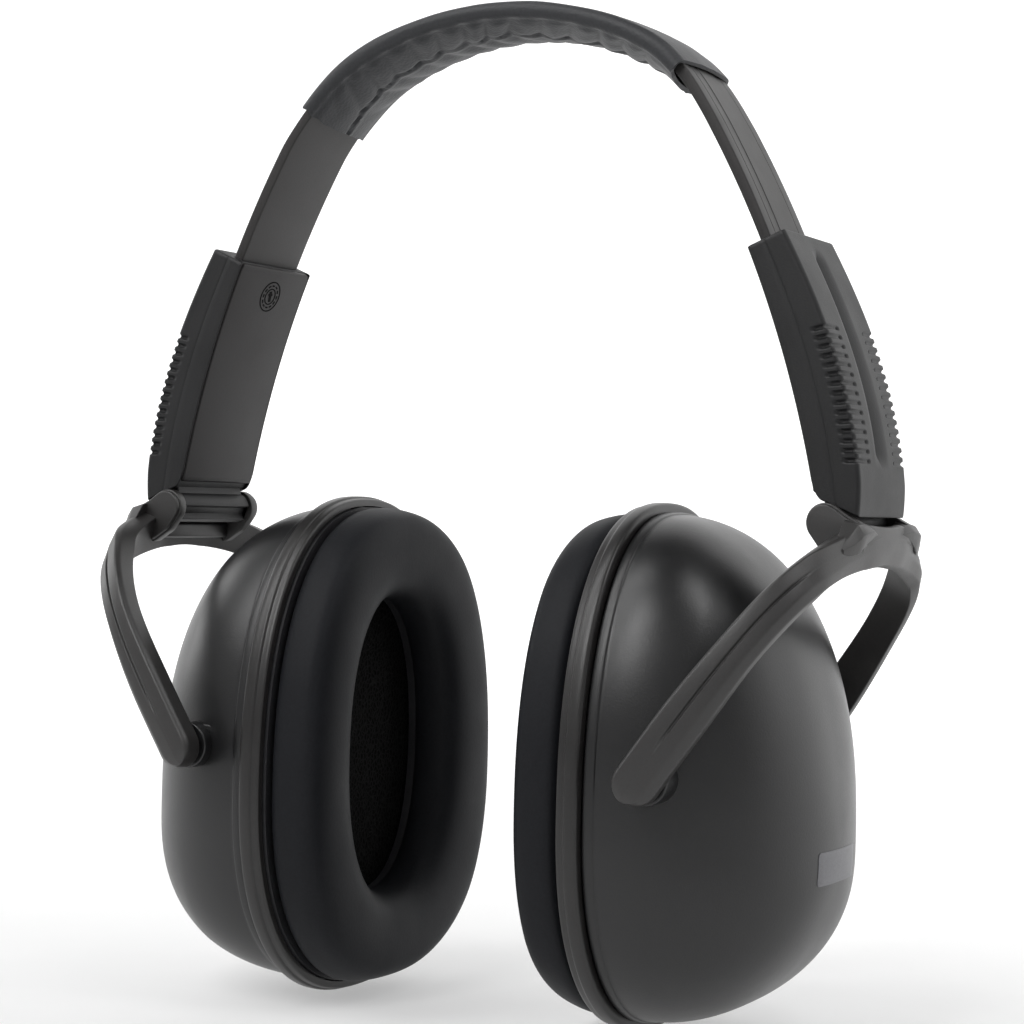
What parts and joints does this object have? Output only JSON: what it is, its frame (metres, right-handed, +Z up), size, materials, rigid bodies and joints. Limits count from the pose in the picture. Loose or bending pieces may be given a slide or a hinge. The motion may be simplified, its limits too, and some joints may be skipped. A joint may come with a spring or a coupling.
{
  "type": "hearing protection earmuffs",
  "caption": "Foldable over-head ear defenders: arched band with soft crown sleeve, curved height sliders, hinged yokes and deep egg-shaped cups with soft seals.",
  "frame": {"origin": "middle of the underside of the crown pad, where the earmuffs rest on the wearer's head", "axes": "+X from the left cup to the right cup, +Y towards the rear arms of the yokes, +Z up to the crown"},
  "size_m": [0.1684, 0.091, 0.2035],
  "materials": {
    "band_plastic": "satin moulded",
    "sleeve_leatherette": "soft leatherette",
    "crown_foam": "soft foam",
    "housing_plastic": "fine moulded grain",
    "cover_plastic": "satin moulded",
    "spring_steel": "bright",
    "pin_steel": "bright",
    "yoke_plastic": "satin moulded",
    "shell_plastic": "semi-matte moulded",
    "rim_plastic": "satin moulded",
    "plate_plastic": "matte",
    "cushion_skin": "soft smooth skin",
    "acoustic_foam": "open-cell foam"
  },
  "bodies": {
    "headband": {"headband_band": "band_plastic", "headband_sleeve": "sleeve_leatherette", "headband_foam": "crown_foam"},
    "right_slider": {"right_slider_housing": "housing_plastic", "right_slider_cover": "cover_plastic", "right_friction_spring": "spring_steel", "right_hinge_pin": "pin_steel"},
    "right_yoke": {"right_yoke": "yoke_plastic", "right_front_pivot_pin": "pin_steel", "right_rear_pivot_pin": "pin_steel"},
    "right_cup": {"right_cup_shell": "shell_plastic", "right_rim_ring": "rim_plastic", "right_seal_plate": "plate_plastic", "right_ear_cushion": "cushion_skin", "right_foam_liner": "acoustic_foam"},
    "left_slider": {"left_slider_housing": "housing_plastic", "left_slider_cover": "cover_plastic", "left_friction_spring": "spring_steel", "left_hinge_pin": "pin_steel"},
    "left_yoke": {"left_yoke": "yoke_plastic", "left_front_pivot_pin": "pin_steel", "left_rear_pivot_pin": "pin_steel"},
    "left_cup": {"left_cup_shell": "shell_plastic", "left_rim_ring": "rim_plastic", "left_seal_plate": "plate_plastic", "left_ear_cushion": "cushion_skin", "left_foam_liner": "acoustic_foam"}
  },
  "joints": [
    {"name": "right_slide", "type": "hinge", "parent": "headband", "child": "right_slider", "pos_m": [-0.15092, 0, -0.13461], "axis": [0, -1, 0], "range_deg": [0, 6.4]},
    {"name": "right_fold", "type": "hinge", "parent": "right_slider", "child": "right_yoke", "pos_m": [0.0745, 0, -0.0966], "axis": [0, 1, 0], "range_deg": [0, 25]},
    {"name": "right_tilt", "type": "hinge", "parent": "right_yoke", "child": "right_cup", "pos_m": [0.0503, 0, -0.1443], "axis": [0, 1, 0], "range_deg": [-12, 12]},
    {"name": "left_slide", "type": "hinge", "parent": "headband", "child": "left_slider", "pos_m": [0.15092, 0, -0.13461], "axis": [0, 1, 0], "range_deg": [0, 6.4]},
    {"name": "left_fold", "type": "hinge", "parent": "left_slider", "child": "left_yoke", "pos_m": [-0.0745, 0, -0.0966], "axis": [0, 1, 0], "range_deg": [-25, 0]},
    {"name": "left_tilt", "type": "hinge", "parent": "left_yoke", "child": "left_cup", "pos_m": [-0.0503, 0, -0.1443], "axis": [0, 1, 0], "range_deg": [-12, 12]}
  ]
}
